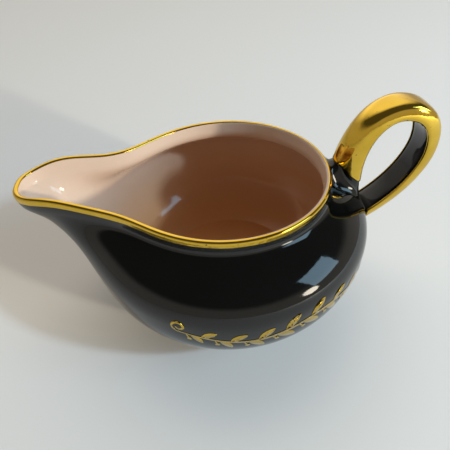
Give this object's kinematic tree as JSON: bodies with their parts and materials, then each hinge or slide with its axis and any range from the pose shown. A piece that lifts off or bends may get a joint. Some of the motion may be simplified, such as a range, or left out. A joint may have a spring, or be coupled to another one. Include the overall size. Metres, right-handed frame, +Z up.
{
  "type": "milk jug",
  "caption": "Squat round ceramic milk jug with a long pulled spout, an upright collar, a gilded rim and a raised ear-shaped strap handle, for serving milk or cream.",
  "frame": {"origin": "middle of the foot, on the surface that the jug stands on", "axes": "+X from the jug's axis towards the handle, the spout points to -X; +Z up"},
  "size_m": [0.1676, 0.1178, 0.0896],
  "materials": {
    "black_glaze": "gloss black glaze",
    "pink_glaze": "gloss dusty pink glaze",
    "gold_lustre": "hand-painted gold lustre, lightly worn"
  },
  "bodies": {
    "root": {"body_casting": "black_glaze", "lining_glaze": "pink_glaze", "rim_gilding": "gold_lustre", "handle_strap": "black_glaze", "handle_gilding": "gold_lustre", "upper_slip_joint": "black_glaze", "lower_slip_joint": "black_glaze"}
  },
  "joints": []
}
